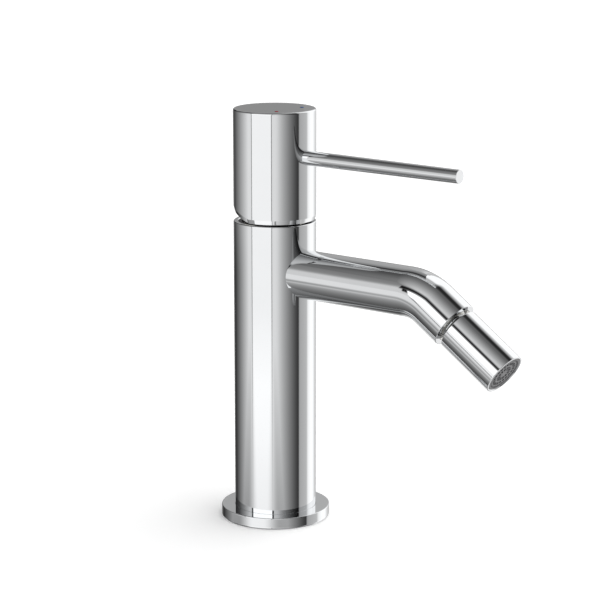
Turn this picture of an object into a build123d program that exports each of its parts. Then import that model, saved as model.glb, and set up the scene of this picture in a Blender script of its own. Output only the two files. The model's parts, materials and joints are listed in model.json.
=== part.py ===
"""Single-lever bidet mixer with a slim round body, a bent spout and a ball-jointed nozzle.

Millimetres, +Z up, +X towards the user along the spout. The origin is on the deck plane, on the
body's axis. Each function below makes one piece, and each piece is written to its own STEP file.
"""

from build123d import *
import math
import os

# Overrun of every cut, and the clearances that pieces share
overrun = 1.0
fit = 0.05
slide_gap = 0.2

# Body and base
body_radius = 17.5
body_height = 130.0
shell_wall = 2.0
rim_break = 0.25
flange_overhang = 5.8
flange_height = 5.0
flange_ledge = 1.5
flange_ledge_width = 4.0
flange_break = 0.3
seal_wall = 1.2
seal_width = 2.8
seal_height = 1.2

# Inlets in the foot of the body, and the tubes that carry the water up
block_height = 16.5
inlet_radius = 4.5
inlet_depth = 12.0
inlet_x = 3.0
inlet_y = 6.2
stud_radius = 3.4
stud_depth = 14.0
stud_x = 8.0
tube_bore = 2.3
tube_wall = 0.9
tube_socket = 4.0

# Cartridge cup in the top of the body
cup_floor = 7.0
cup_recess = 1.4
cup_thread_wall = 1.45
chamber_gap = 0.8
chamber_height = 15.5
cartridge_depth = 29.0
housing_share = 0.889
nut_bore_share = 0.774
nut_hex_height = 3.6
nut_hex_step = 0.4
cover_height = 1.0

# Cartridge, from its seat upwards
housing_wall = 1.3
base_height = 5.5
base_plug = 2.0
outlet_floor = 1.8
outlet_width = 6.0
outlet_height = 3.2
register_radius = 1.1
register_height = 1.5
port_seal_wall = 0.4
port_seal_thickness = 1.2
disc_height = 3.5
port_radius = 1.9
outlet_radius = 2.4
mixing_depth = 1.6
driver_plate = 1.4
driver_block = 3.2
driver_wall = 1.35
lug_width = 3.0
lug_length = 2.0
lug_depth = 1.2
guide_flange = 3.0
shoulder_height = 2.0
o_ring_radius = 0.42
o_ring_drop = 7.5
stop_height = 2.6
stop_width_share = 0.24
stop_clearance = 0.15
stop_post_height = 1.5

# Places and widths in the cartridge, as shares of the bore of its housing
port_x_share = 0.235
port_y_share = 0.432
outlet_x_share = 0.18
register_x_share = 0.6
register_y_share = 0.6
pocket_y_share = 0.47
cheek_x_share = 0.54
cheek_y_share = 0.72
spindle_width_share = 0.63
spindle_tip_share = 0.216

# Spindle and its pivot
pivot_rise = 7.5
neck_rise = 5.0
pin_radius = 1.25
pin_setback = 0.4
spindle_arm = 3.4
spindle_arm_length = 14.0
spindle_top = 6.0
tip_clearance = 0.15
tip_room = 0.6

# Handle head and lever
head_gap = 0.65
head_height = 46.95
head_wall = 2.0
head_roof = 4.6
head_edge_radius = 0.75
head_chamfer_height = 1.9
head_chamfer_width = 0.5
boss_wall = 2.6
boss_drop = 12.0
rib_width = 10.0
rib_height = 12.0
lever_rise = 27.45
lever_reach = 94.3
lever_root_radius = 3.1
lever_tip_radius = 2.82
lever_edge = 0.2
lever_socket = 1.9
lever_socket_gap = 0.3
lever_thread_radius = 2.5
lever_thread_length = 9.0
screw_rise = 21.25
screw_radius = 2.5
screw_length = 6.0
screw_hex = 2.5
screw_hex_depth = 2.5
cap_length = 2.2
dot_radius = 0.8
dot_depth = 0.6
dot_x = 7.9
dot_y = 8.4

# Spout
spout_drop = 21.5
spout_radius = 10.3
spout_wall = 2.3
spout_run = 77.0
spout_tail = 19.3
spout_bend_radius = 22.0
nipple_wall = 1.95
nipple_length = 14.0
spout_edge = 0.2
bush_length = 11.0
bush_lip = 1.6

# Ball joint and nozzle
ball_radius = 7.4
ball_bore = 3.3
ball_offset = 4.75
stem_radius = 5.9
stem_length = 7.0
washer_height = 0.9
liner_wall = 0.6
liner_recess = 0.6
liner_tail = 2.6
swivel_gap = 2.15
nozzle_radius = 9.25
nozzle_length = 27.2
nozzle_step = 0.2
nozzle_break = 0.2
seat_start = 4.3
seat_length = 6.0
seat_bore = 3.9
ball_ring_radius = 0.8

# Aerator in the nozzle
aerator_recess = 0.25
aerator_wall = 0.65
aerator_seal_height = 1.2
aerator_seal_width = 2.0
aerator_lip = 0.2
regulator_height = 2.6
regulator_hole = 0.9
regulator_pitch = 3.2
regulator_rings = 1
former_height = 2.2
former_hole = 0.45
former_pitch = 1.8
former_rings = 3
screen_height = 0.3
screen_gap = 0.7
screen_hole = 0.7
screen_pitch = 1.75
screen_rings = 3
comb_height = 3.2
comb_rib = 0.45

# The honeycomb's rings of cells: how many cells, and their inner and outer radius as shares
comb_ring_shares = [(12, 0.25, 0.5), (20, 0.62, 0.8), (36, 0.885, 0.96)]

# Angles in degrees
lift_angle = 17.5
turn_angle = 45.0
spout_bend_angle = 34.1
ball_ring_angle = 40.0
stop_post_angle = 14.0
stop_play_angle = 1.0

# Levels and radii that follow from the sizes above
flange_radius = body_radius + flange_overhang
shell_bore = body_radius - shell_wall
cup_radius = shell_bore - fit
nut_radius = cup_radius - cup_thread_wall - fit
nut_bore = nut_bore_share * nut_radius
stop_width = stop_width_share * nut_bore
guide_neck_radius = nut_bore - stop_clearance - stop_width - fit
housing_radius = housing_share * nut_radius
housing_bore = housing_radius - housing_wall
chamber_radius = housing_radius + chamber_gap
spindle_width = spindle_width_share * housing_bore
spindle_tip_radius = spindle_tip_share * housing_bore
seat_z = body_height - cartridge_depth
cup_top = body_height - cup_recess
base_top = seat_z + base_height + base_plug
fixed_disc_top = base_top + disc_height
moving_disc_top = fixed_disc_top + disc_height
driver_plate_top = moving_disc_top + driver_plate
driver_top = driver_plate_top + driver_block
guide_z = driver_top + slide_gap
guide_flange_top = guide_z + guide_flange
shoulder_z = guide_flange_top + slide_gap
shoulder_top = shoulder_z + shoulder_height
pivot_z = shoulder_top + pivot_rise
neck_top = pivot_z + neck_rise
port_x = port_x_share * housing_bore
port_y = port_y_share * housing_bore
outlet_x = -outlet_x_share * housing_bore
block_top = flange_ledge + block_height
cup_z = seat_z - cup_floor
tube_radius = tube_bore + tube_wall
head_z = body_height + head_gap
head_top = head_z + head_height
lever_z = head_z + lever_rise
screw_z = head_z + screw_rise
boss_radius = spindle_width / math.sqrt(2) + boss_wall
port_seal_radius = port_radius + port_seal_wall + port_seal_thickness

# The spindle's tip slides the moving disc by its whole travel, half of it each side of the axis
disc_travel = spindle_arm_length * math.sin(math.radians(lift_angle))
moving_disc_radius = housing_bore - disc_travel / 2 - 2 * fit
disc_x = -disc_travel / 2
tip_z = pivot_z - spindle_arm_length
spindle_end = lever_z + spindle_top

# Spout and nozzle frames: the tail frame's Z runs down the bent end of the spout
spout_z = body_height - spout_drop
spout_bore = spout_radius - spout_wall
bend = math.radians(spout_bend_angle)
bend_setback = spout_bend_radius * math.tan(bend / 2)
tail_direction = Vector(math.cos(bend), 0, -math.sin(bend))
bend_point = Vector(spout_run, 0, spout_z)
spout_end = bend_point + tail_direction * spout_tail
ball_centre = spout_end + tail_direction * ball_offset
side = (0, 1, 0)
tail_frame = Plane(origin=spout_end, x_dir=side, z_dir=tail_direction).location
ball_frame = Plane(origin=ball_centre, x_dir=side, z_dir=tail_direction).location

# Places along the nozzle, counted from the ball's centre
sleeve_start = swivel_gap - ball_offset
sleeve_end = sleeve_start + nozzle_length
liner_bore = ball_radius + fit
liner_radius = liner_bore + liner_wall
sleeve_bore = liner_radius + fit
seat_end = seat_start + seat_length
wide_bore = sleeve_bore + nozzle_step
aerator_start = seat_end + aerator_seal_height
aerator_end = sleeve_end - aerator_recess
aerator_radius = wide_bore - fit
insert_radius = aerator_radius - aerator_wall
comb_z = aerator_end - aerator_lip - comb_height
first_screen_z = comb_z - fit - screen_height
second_screen_z = first_screen_z - screen_gap - screen_height
former_z = second_screen_z - fit - former_height
regulator_z = former_z - fit - regulator_height


def rod(radius, height, z=0):
    """A cylinder on the Z axis that stands on z."""
    return Pos(0, 0, z) * Cylinder(radius, height, align=(Align.CENTER, Align.CENTER, Align.MIN))


def hole(radius, depth, z=0):
    """The cutter of a round hole from z up through depth, with an overrun at both ends."""
    return rod(radius, depth + 2 * overrun, z - overrun)


def ring(outer, inner, height, z=0):
    """A flat ring that stands on z."""
    return rod(outer, height, z) - hole(inner, height, z)


def block(length, width, height, z=0):
    """A box centred on the Z axis that stands on z."""
    return Pos(0, 0, z) * Box(length, width, height, align=(Align.CENTER, Align.CENTER, Align.MIN))


def bar(x_low, x_high, width, height, z=0):
    """A box between two places along X, centred on Y, that stands on z."""
    return Pos((x_low + x_high) / 2, 0, 0) * block(x_high - x_low, width, height, z)


def along_x(radius, x_low, x_high, z):
    """A round bar along X between two places."""
    turned = Rot(0, 90, 0) * Cylinder(radius, x_high - x_low)
    return Pos((x_low + x_high) / 2, 0, z) * turned


def along_y(radius, width, z):
    """A round bar along Y, centred on the XZ plane."""
    return Pos(0, 0, z) * (Rot(90, 0, 0) * Cylinder(radius, width))


def hexagon(flat_radius, height, z=0):
    """A hexagonal bar with flats flat_radius from the Z axis."""
    outline = RegularPolygon(flat_radius, 6, major_radius=False)
    return Pos(0, 0, z) * extrude(outline, height)


def tidy(shape):
    """The shape's one solid, without the wrapper that a boolean can leave round it."""
    solids = shape.solids()
    return solids[0] if len(solids) == 1 else Compound(children=list(solids))


# Base and body

def base_flange():
    plate = rod(flange_radius, flange_height)
    plate = chamfer(plate.edges().group_by(Axis.Z)[-1], flange_break)
    plate -= hole(body_radius + fit, flange_height, flange_ledge + overrun)
    plate -= hole(body_radius - flange_ledge_width, flange_ledge)
    groove_inner = body_radius + seal_wall
    return plate - ring(groove_inner + seal_width, groove_inner, seal_height)


def flange_seal():
    inner = body_radius + seal_wall + fit
    return ring(inner + seal_width - 2 * fit, inner, seal_height)


def body_shell():
    height = body_height - flange_ledge
    shell = ring(body_radius, shell_bore, height, flange_ledge)
    top = shell.edges().group_by(Axis.Z)[-1]
    shell = chamfer(top, rim_break)
    return shell - along_x(spout_bore, 0, body_radius + overrun, spout_z)


def inlet_places():
    """The hot inlet is on the user's left, at -Y, and the cold one on the right."""
    return [Pos(inlet_x, turn * inlet_y, 0) for turn in (-1, 1)]


def tube_places():
    return [Pos(port_x, turn * port_y, 0) for turn in (-1, 1)]


def inlet_block():
    piece = rod(cup_radius, block_height, flange_ledge)
    for place in inlet_places():
        piece -= place * rod(inlet_radius, inlet_depth + overrun, flange_ledge - overrun)
    piece -= Pos(-stud_x, 0, 0) * rod(stud_radius, stud_depth + overrun, flange_ledge - overrun)
    for place in tube_places():
        piece -= place * hole(tube_bore, block_height, flange_ledge)
        piece -= place * rod(tube_radius + fit, tube_socket + overrun, block_top - tube_socket)
    return piece


def supply_tube(place):
    low = block_top - tube_socket
    high = cup_z + tube_socket
    return place * ring(tube_radius, tube_bore, high - low, low)


def cartridge_cup():
    cup = rod(cup_radius, cup_top - cup_z, cup_z)
    cup -= rod(housing_radius + fit, cup_top - seat_z + overrun, seat_z)
    cup -= rod(chamber_radius, chamber_height, seat_z)
    cup -= rod(nut_radius + fit, cup_top - shoulder_top + overrun, shoulder_top)
    for place in tube_places():
        cup -= place * hole(tube_bore, cup_floor, cup_z)
        cup -= place * rod(tube_radius + fit, tube_socket + overrun, cup_z - overrun)
    for place in register_places():
        depth = register_height + slide_gap
        cup -= place * rod(register_radius + fit, depth + overrun, seat_z - depth)
    spout_port = along_x(spout_bore, 0, body_radius, spout_z)
    return cup - (spout_port - rod(housing_radius + fit, chamber_height, cup_z))


# Cartridge

def register_places():
    x = -register_x_share * housing_bore
    y = register_y_share * housing_bore
    return [Pos(x, turn * y, 0) for turn in (-1, 1)]


def cartridge_base():
    base = rod(housing_radius, base_height, seat_z)
    base += rod(housing_bore - fit, base_height + base_plug, seat_z)
    for place in tube_places():
        base -= place * hole(port_radius, base_height + base_plug, seat_z)
        base -= place * rod(port_seal_radius + fit, port_seal_thickness + overrun, seat_z - overrun)
    outlet_z = seat_z + outlet_floor
    base -= Pos(outlet_x, 0, 0) * rod(outlet_radius, base_top - outlet_z + overrun, outlet_z)
    base -= bar(-housing_radius - overrun, outlet_x, outlet_width, outlet_height, outlet_z)
    for place in register_places():
        base += place * rod(register_radius, 2 * register_height, seat_z - register_height)
    return base


def inlet_seals():
    """Two round rings, sunk in the underside of the cartridge and flush with its seat."""
    thick = port_seal_thickness / 2
    seal = Torus(port_radius + port_seal_wall + thick, thick)
    return Compound(children=[place * (Pos(0, 0, seat_z + thick) * seal) for place in tube_places()])


def fixed_disc():
    disc = rod(housing_bore - fit, disc_height, base_top)
    for place in tube_places():
        disc -= place * hole(port_radius, disc_height, base_top)
    return disc - Pos(outlet_x, 0, 0) * hole(outlet_radius, disc_height, base_top)


def lug_places():
    y = moving_disc_radius - lug_length / 2
    return [Pos(disc_x, turn * y, 0) for turn in (-1, 1)]


def moving_disc():
    """A disc with a mixing pocket underneath, which the lever slides over the ports."""
    disc = Pos(disc_x, 0, 0) * rod(moving_disc_radius, disc_height, fixed_disc_top)
    pocket_front = port_x - port_radius - 2 * slide_gap
    pocket_rear = outlet_x - outlet_radius - disc_travel / 2
    pocket_width = 2 * pocket_y_share * housing_bore
    disc -= bar(pocket_rear, pocket_front, pocket_width, mixing_depth + overrun, fixed_disc_top - overrun)
    for place in lug_places():
        disc -= place * block(lug_width, lug_length, lug_depth + overrun, moving_disc_top - lug_depth)
    return disc


def disc_driver():
    """The plate on the moving disc, with a slot that the tip of the spindle works in."""
    slot_half = spindle_tip_radius + tip_clearance
    driver = Pos(disc_x, 0, 0) * rod(moving_disc_radius, driver_plate, moving_disc_top)
    width = spindle_width + 2 * driver_wall + 2 * fit
    driver += block(2 * (slot_half + driver_wall), width, driver_plate + driver_block, moving_disc_top)
    for place in lug_places():
        height = lug_depth - fit
        driver += place * block(lug_width - 2 * fit, lug_length - 2 * fit, height, moving_disc_top - height)
    floor = tip_z - spindle_tip_radius - tip_room
    return driver - block(2 * slot_half, spindle_width + 2 * fit, driver_top - floor + overrun, floor)


def cartridge_housing():
    skirt_z = seat_z + base_height
    case = rod(housing_radius, shoulder_top - skirt_z, skirt_z)
    case -= rod(housing_bore, shoulder_z - skirt_z + overrun, skirt_z - overrun)
    case -= hole(guide_neck_radius + fit, shoulder_height, shoulder_z)
    groove = 2 * o_ring_radius
    case -= ring(housing_radius + overrun, housing_radius - groove, groove, shoulder_top - o_ring_drop)
    return case + stop_sector(stop_post_angle, stop_post_height, shoulder_top, slide_gap)


def stop_sector(angle, height, z, margin):
    """A piece of ring behind the axis, angle degrees wide, that the turning stop works with."""
    inner = guide_neck_radius + fit + margin
    outer = guide_neck_radius + fit + stop_width - margin
    band = ring(outer, inner, height, z)
    reach = outer + overrun
    half = reach * math.tan(math.radians(angle / 2))
    outline = Polygon((0, 0), (-reach, half), (-reach, -half), align=None)
    return band & (Pos(0, 0, z) * extrude(outline, height))


def housing_o_ring():
    middle = housing_radius - o_ring_radius + fit / 2
    z = shoulder_top - o_ring_drop + o_ring_radius
    return Pos(0, 0, z) * Torus(middle, o_ring_radius - fit / 2)


def retaining_nut():
    nut = rod(nut_radius, cup_top - shoulder_top, shoulder_top)
    nut += hexagon(nut_radius * math.cos(math.radians(30)) - nut_hex_step, nut_hex_height, cup_top)
    return nut - hole(nut_bore, cup_top - shoulder_top + nut_hex_height, shoulder_top)


def cover_ring():
    return ring(cup_radius, nut_radius + fit, cover_height, cup_top)


# Turning guide with its pin and stop

def guide_slot():
    """Room for the spindle through the guide, forwards below the pivot and backwards above it."""
    front = spindle_tip_radius + disc_travel + slide_gap
    rear = spindle_width / 2 + neck_rise * math.tan(math.radians(lift_angle)) + slide_gap
    low = guide_z - driver_block
    return bar(-rear, front, spindle_width + 2 * fit, neck_top - low + overrun, low)


def spindle_guide():
    guide = rod(guide_neck_radius, neck_top - guide_z, guide_z)
    guide += rod(housing_bore - 2 * fit, guide_flange, guide_z)
    inner = spindle_width / 2 + driver_wall + 2 * fit
    width = cheek_y_share * housing_bore - inner
    length = 2 * cheek_x_share * housing_bore
    cheek_z = driver_plate_top + slide_gap
    for turn in (-1, 1):
        y = turn * (inner + width / 2)
        guide += Pos(0, y, 0) * block(length, width, guide_z - cheek_z + fit, cheek_z)
    guide -= guide_slot()
    return guide - along_y(pin_radius, 2 * guide_neck_radius + overrun, pivot_z)


def pivot_pin():
    return along_y(pin_radius, 2 * (guide_neck_radius - pin_setback), pivot_z)


def turn_stop_ring():
    """The ring that limits the turn: its cut-out meets the post on the cartridge at both ends."""
    z = shoulder_top + slide_gap
    inner = guide_neck_radius + fit
    band = ring(inner + stop_width, inner, stop_height, z)
    depth = stop_post_height + slide_gap
    angle = stop_post_angle / 2 + turn_angle + stop_play_angle
    for turn in (-1, 1):
        mid = Rot(0, 0, turn * angle / 2)
        band -= mid * stop_sector(angle, depth, z - slide_gap, -slide_gap)
    return band


# Handle

def spindle():
    arm = along_y(spindle_tip_radius, spindle_width, tip_z)
    arm += bar(-spindle_arm / 2, spindle_arm / 2, spindle_width, pivot_z - tip_z, tip_z)
    arm += along_y(spindle_width / 2, spindle_width, pivot_z)
    arm += block(spindle_width, spindle_width, spindle_end - pivot_z, pivot_z)
    return arm - along_y(pin_radius + fit, spindle_width + overrun, pivot_z)


def head_outside():
    """A round head whose underside slopes up behind the axis, so that it can tip back."""
    head = rod(body_radius, head_height, head_z)
    reach = body_radius + overrun
    rise = reach * math.tan(math.radians(lift_angle))
    outline = Polygon((0, 0), (-reach, rise), (-reach, -overrun), (0, -overrun), align=None)
    wedge = extrude(Plane.XZ * outline, 2 * reach, both=True)
    head -= Pos(0, 0, head_z) * wedge
    side_face = head.faces().filter_by(GeomType.CYLINDER)[0]
    rims = [edge for edge in side_face.edges() if is_bottom_rim(edge)]
    head = chamfer(rims, head_chamfer_height, head_chamfer_width, reference=side_face)
    return fillet(head.edges().group_by(Axis.Z)[-1], head_edge_radius)


def is_bottom_rim(edge):
    """True for the two curved edges round the head's underside."""
    low = edge.bounding_box().min.Z < head_z + head_height / 2
    return low and edge.geom_type != GeomType.LINE


def handle_head():
    head = head_outside()
    roof_z = head_top - head_roof
    boss_z = head_z + boss_drop
    cavity = rod(body_radius - head_wall, roof_z - head_z + overrun, head_z - overrun)
    cavity -= rod(boss_radius, roof_z - boss_z, boss_z)
    reach = body_radius - head_wall + overrun
    cavity -= bar(0, reach, rib_width, rib_height, lever_z - rib_height / 2)
    cavity -= bar(-reach, 0, rib_width, rib_height, screw_z - rib_height / 2)
    head -= cavity
    socket = spindle_width + 2 * fit
    head -= block(socket, socket, spindle_end - boss_z + fit + overrun, boss_z - overrun)
    head -= along_x(lever_thread_radius + fit, 0, body_radius, lever_z)
    floor_x = body_radius - lever_socket
    head -= along_x(lever_root_radius + lever_socket_gap, floor_x, body_radius + overrun, lever_z)
    head -= along_x(screw_radius + fit, -body_radius - overrun, 0, screw_z)
    for place in dot_places():
        head -= place * rod(dot_radius + fit / 2, dot_depth + overrun, head_top - dot_depth)
    return head


def lever_rod():
    start = body_radius - lever_socket
    length = lever_reach - start
    taper = Cone(lever_root_radius, lever_tip_radius, length, align=(Align.CENTER, Align.CENTER, Align.MIN))
    taper = chamfer(taper.edges().group_by(Axis.Z)[-1], lever_edge)
    lever = Pos(start, 0, lever_z) * (Rot(0, 90, 0) * taper)
    return lever + along_x(lever_thread_radius, start - lever_thread_length, start + lever_socket, lever_z)


def grub_screw():
    inner = -spindle_width / 2 - fit
    screw = along_x(screw_radius, inner - screw_length, inner, screw_z)
    key = Rot(0, 90, 0) * hexagon(screw_hex / 2, screw_hex_depth + overrun)
    return screw - Pos(inner - screw_length - overrun, 0, screw_z) * key


def screw_cap():
    """A plug that closes the screw's hole, with its end following the round of the head."""
    plug = along_x(screw_radius, -body_radius, cap_length - body_radius, screw_z)
    return plug & rod(body_radius, head_height, head_z)


def dot_places():
    """Hot on the user's left when facing the mixer, cold on the right."""
    return [Pos(dot_x, turn * dot_y, 0) for turn in (-1, 1)]


def index_dot(place):
    return place * rod(dot_radius, dot_depth, head_top - dot_depth)


# Spout

def bent_rod(radius):
    """A round bar along the spout: straight out, round the bend, and straight down its tail."""
    straight = along_x(radius, 0, spout_run - bend_setback, spout_z)
    start = Plane(origin=(spout_run - bend_setback, 0, spout_z), x_dir=side, z_dir=(1, 0, 0))
    centre = (spout_run - bend_setback, 0, spout_z - spout_bend_radius)
    elbow = revolve(start * Circle(radius), Axis(centre, side), spout_bend_angle)
    tail_length = spout_tail - bend_setback
    tail = tail_frame * rod(radius, tail_length, -tail_length)
    return straight + elbow + tail


def spout_tube():
    end_face = bent_rod(spout_radius).faces().sort_by_distance(spout_end)[0]
    tube = chamfer(end_face.edges(), spout_edge) - bent_rod(spout_bore)
    tube -= tail_frame * hole(spout_bore, overrun, -overrun)
    return tube - rod(body_radius + fit, 2 * spout_radius + 2 * overrun, spout_z - spout_radius - overrun)


def spout_nipple():
    """The short tube that joins the spout to the cup, cut back clear of the cartridge."""
    outer = spout_bore - fit
    end = body_radius + nipple_length
    nipple = along_x(outer, 0, end, spout_z) - along_x(outer - nipple_wall, -overrun, end + overrun, spout_z)
    return nipple - rod(chamber_radius, 2 * outer + 2 * overrun, spout_z - outer - overrun)


def spout_end_bush():
    """The bush in the spout's end that the ball is screwed into, with a lip for its washer."""
    bush = ring(spout_bore - fit, stem_radius - bush_lip, bush_length, -bush_length)
    seat = stem_length + washer_height + fit
    return tail_frame * (bush - rod(stem_radius + fit, seat + overrun, -seat))


def nipple_washer():
    outer = stem_radius - fit
    low = -(stem_length + washer_height + fit)
    return tail_frame * ring(outer, outer - bush_lip, washer_height, low)


# Ball joint

def ball_nipple():
    """A ball on a screwed stem, bored through for the water and cut off flat at the spout's end."""
    ball = Sphere(ball_radius)
    ball -= rod(ball_radius + overrun, ball_radius, -ball_offset - ball_radius)
    ball += rod(stem_radius, stem_length, -ball_offset - stem_length)
    bore = rod(ball_bore, stem_length + ball_offset + ball_radius + 2 * overrun,
               -ball_offset - stem_length - overrun)
    return ball_frame * (ball - bore)


def ball_liner():
    """The thin plastic bearing between the ball and the nozzle, a band of a hollow sphere."""
    low = sleeve_start + liner_recess
    band = Sphere(liner_radius) - Sphere(liner_bore)
    return ball_frame * (band & rod(liner_radius + overrun, liner_tail - low, low))


def ball_ring_path():
    """Radius and place of the seal's middle line, on the ball at its angle from the nozzle's axis."""
    reach = ball_radius + fit + ball_ring_radius
    angle = math.radians(ball_ring_angle)
    return reach * math.sin(angle), reach * math.cos(angle)


def ball_o_ring():
    radius, place = ball_ring_path()
    return ball_frame * (Pos(0, 0, place) * Torus(radius, ball_ring_radius))


def seat_ring():
    """The screwed ring that holds ball, liner and seal in the nozzle."""
    radius, place = ball_ring_path()
    seat = ring(sleeve_bore - fit, seat_bore, seat_length, seat_start)
    seat -= Sphere(sleeve_bore)
    return ball_frame * (seat - Pos(0, 0, place) * Torus(radius, ball_ring_radius + fit))


def nozzle_sleeve():
    """The nozzle's outside, with a round lip that keeps the ball from pulling out."""
    sleeve = rod(nozzle_radius, nozzle_length, sleeve_start)
    sleeve = chamfer(sleeve.edges().group_by(Axis.Z)[0] + sleeve.edges().group_by(Axis.Z)[-1], nozzle_break)
    sleeve -= Sphere(sleeve_bore)
    sleeve -= rod(sleeve_bore, sleeve_end + overrun)
    sleeve -= rod(wide_bore, sleeve_end - seat_end + overrun, seat_end)
    return ball_frame * sleeve


# Aerator

def aerator_washer():
    inner = aerator_radius - aerator_seal_width
    return ball_frame * ring(aerator_radius, inner, aerator_seal_height, seat_end)


def aerator_housing():
    """A screwed cup, open at both ends, with a lip round the mouth that holds the honeycomb."""
    length = aerator_end - aerator_start
    case = rod(aerator_radius, length, aerator_start)
    case -= rod(insert_radius, length - aerator_lip + overrun, aerator_start - overrun)
    return ball_frame * (case - hole(insert_radius - aerator_lip, length, aerator_start))


def comb_cells(count, inner_share, outer_share):
    """Cutters of one ring of four-sided cells, with ribs of an even width between them."""
    inner = inner_share * insert_radius
    outer = outer_share * insert_radius
    half = math.pi / count
    corners = []
    for radius, turn in ((inner, -1), (outer, -1), (outer, 1), (inner, 1)):
        y = turn * (radius * math.sin(half) - comb_rib / 2)
        corners.append((radius * math.cos(half), y))
    outline = Polygon(*corners, align=None)
    cell = Pos(0, 0, comb_z - overrun) * extrude(outline, comb_height + 2 * overrun)
    return ring_of_holes(cell, 0, count)


def ring_of_holes(cutter, radius, count):
    """Copies of a cutter, evenly spaced round the Z axis."""
    return [Rot(0, 0, 360 * turn / count) * (Pos(radius, 0, 0) * cutter) for turn in range(count)]


def punched_disc(cutter, pitch, rings, height, z):
    """A disc with rings of holes, six more in each ring than in the one inside it."""
    plate = rod(insert_radius - fit, height, z)
    cutters = [cutter]
    for number in range(1, rings + 1):
        cutters += ring_of_holes(cutter, number * pitch, 6 * number)
    return plate - cutters


def aerator_honeycomb():
    """The outlet's comb: rings of cells round a plain middle, held by the lip of the housing."""
    comb = rod(insert_radius - fit, comb_height, comb_z)
    for count, inner_share, outer_share in comb_ring_shares:
        comb -= comb_cells(count, inner_share, outer_share)
    return ball_frame * comb


def aerator_screens():
    """Two thin punched screens between the comb and the jet former."""
    screens = []
    for z in (first_screen_z, second_screen_z):
        cutter = hole(screen_hole, screen_height, z)
        screen = punched_disc(cutter, screen_pitch, screen_rings, screen_height, z)
        screens.append(ball_frame * screen)
    return Compound(children=screens)


def jet_former():
    """A plate of fine holes that splits the flow into jets."""
    cutter = hole(former_hole, former_height, former_z)
    return ball_frame * punched_disc(cutter, former_pitch, former_rings, former_height, former_z)


def flow_regulator():
    """The disc at the top of the insert, whose holes limit the flow."""
    cutter = hole(regulator_hole, regulator_height, regulator_z)
    plate = punched_disc(cutter, regulator_pitch, regulator_rings, regulator_height, regulator_z)
    return ball_frame * plate


hot_place, cold_place = tube_places()
hot_dot_place, cold_dot_place = dot_places()
pieces = {
    "base_flange": base_flange(),
    "flange_seal": flange_seal(),
    "body_shell": body_shell(),
    "inlet_block": inlet_block(),
    "hot_supply_tube": supply_tube(hot_place),
    "cold_supply_tube": supply_tube(cold_place),
    "cartridge_cup": cartridge_cup(),
    "cartridge_base": cartridge_base(),
    "inlet_seals": inlet_seals(),
    "fixed_disc": fixed_disc(),
    "moving_disc": moving_disc(),
    "disc_driver": disc_driver(),
    "cartridge_housing": cartridge_housing(),
    "housing_o_ring": housing_o_ring(),
    "retaining_nut": retaining_nut(),
    "cover_ring": cover_ring(),
    "spindle_guide": spindle_guide(),
    "pivot_pin": pivot_pin(),
    "turn_stop_ring": turn_stop_ring(),
    "spindle": spindle(),
    "handle_head": handle_head(),
    "lever_rod": lever_rod(),
    "grub_screw": grub_screw(),
    "screw_cap": screw_cap(),
    "hot_dot": index_dot(hot_dot_place),
    "cold_dot": index_dot(cold_dot_place),
    "spout_tube": spout_tube(),
    "spout_nipple": spout_nipple(),
    "spout_end_bush": spout_end_bush(),
    "nipple_washer": nipple_washer(),
    "ball_nipple": ball_nipple(),
    "ball_liner": ball_liner(),
    "ball_o_ring": ball_o_ring(),
    "seat_ring": seat_ring(),
    "nozzle_sleeve": nozzle_sleeve(),
    "aerator_washer": aerator_washer(),
    "aerator_housing": aerator_housing(),
    "aerator_honeycomb": aerator_honeycomb(),
    "aerator_screens": aerator_screens(),
    "jet_former": jet_former(),
    "flow_regulator": flow_regulator(),
}

os.makedirs("parts", exist_ok=True)
for name, piece in pieces.items():
    export_step(tidy(piece), f"parts/{name}.step")
print("pivot height", round(pivot_z, 3), "disc travel", round(disc_travel, 3))
print("ball centre", tuple(round(value, 4) for value in ball_centre))
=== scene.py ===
"""Bidet mixer: polished surfaces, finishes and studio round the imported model.

Metres, +Z up, +X towards the user along the spout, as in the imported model.
"""

import json
import math

import bmesh
import bpy
import numpy as np
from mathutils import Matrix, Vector

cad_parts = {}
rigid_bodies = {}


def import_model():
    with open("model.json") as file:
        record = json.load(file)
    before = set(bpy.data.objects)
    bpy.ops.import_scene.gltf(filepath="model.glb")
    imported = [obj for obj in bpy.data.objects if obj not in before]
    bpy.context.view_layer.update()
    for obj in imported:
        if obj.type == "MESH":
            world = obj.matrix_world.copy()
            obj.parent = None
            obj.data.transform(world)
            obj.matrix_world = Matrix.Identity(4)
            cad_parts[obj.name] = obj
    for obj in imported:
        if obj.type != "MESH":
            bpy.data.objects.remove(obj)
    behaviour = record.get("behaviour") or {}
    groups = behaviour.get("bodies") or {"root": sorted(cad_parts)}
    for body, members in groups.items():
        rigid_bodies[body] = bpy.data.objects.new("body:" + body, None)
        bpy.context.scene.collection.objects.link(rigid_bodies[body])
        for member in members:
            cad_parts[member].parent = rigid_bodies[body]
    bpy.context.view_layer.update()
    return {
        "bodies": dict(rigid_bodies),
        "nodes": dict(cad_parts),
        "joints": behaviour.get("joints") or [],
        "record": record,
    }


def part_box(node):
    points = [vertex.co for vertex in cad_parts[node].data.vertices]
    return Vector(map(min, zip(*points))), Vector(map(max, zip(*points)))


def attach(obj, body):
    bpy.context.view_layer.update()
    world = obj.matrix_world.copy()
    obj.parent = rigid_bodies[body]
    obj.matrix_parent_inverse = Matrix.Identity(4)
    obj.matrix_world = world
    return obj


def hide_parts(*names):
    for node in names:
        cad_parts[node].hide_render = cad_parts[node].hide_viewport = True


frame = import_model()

bl_info = {
    "name": "Bidet mixer",
    "version": (1, 0, 0),
    "blender": (4, 5, 0),
    "location": "3D View > Sidebar > Mixer",
    "description": "Builds the surfaces, finishes and studio of a single-lever bidet mixer",
    "category": "Object",
}

MM = 0.001


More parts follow.
